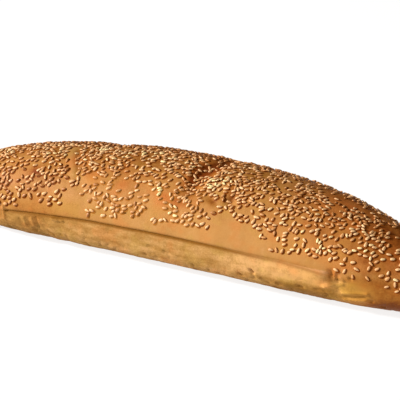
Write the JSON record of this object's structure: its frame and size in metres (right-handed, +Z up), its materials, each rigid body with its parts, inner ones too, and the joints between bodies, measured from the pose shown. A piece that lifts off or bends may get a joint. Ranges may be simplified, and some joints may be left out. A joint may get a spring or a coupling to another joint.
{
  "type": "fino bread loaf",
  "caption": "Long soft white-bread loaf with rounded ends, a flat underside, a seam along each side and sesame seeds on its glossy brown crust.",
  "frame": {"origin": "on the flat underside, in the middle of the loaf's bounding box seen from above", "axes": "+X along the loaf, from its plumper end to its lower, darker end; +Y from the side with the straighter outline to the side that bows out; +Z up from the underside"},
  "size_m": [0.35, 0.0888, 0.0596],
  "materials": {
    "crust": "golden to reddish-brown baked crust with a slight egg-wash gloss, scattered with cream sesame seeds"
  },
  "bodies": {
    "root": {"loaf": "crust"}
  },
  "joints": []
}
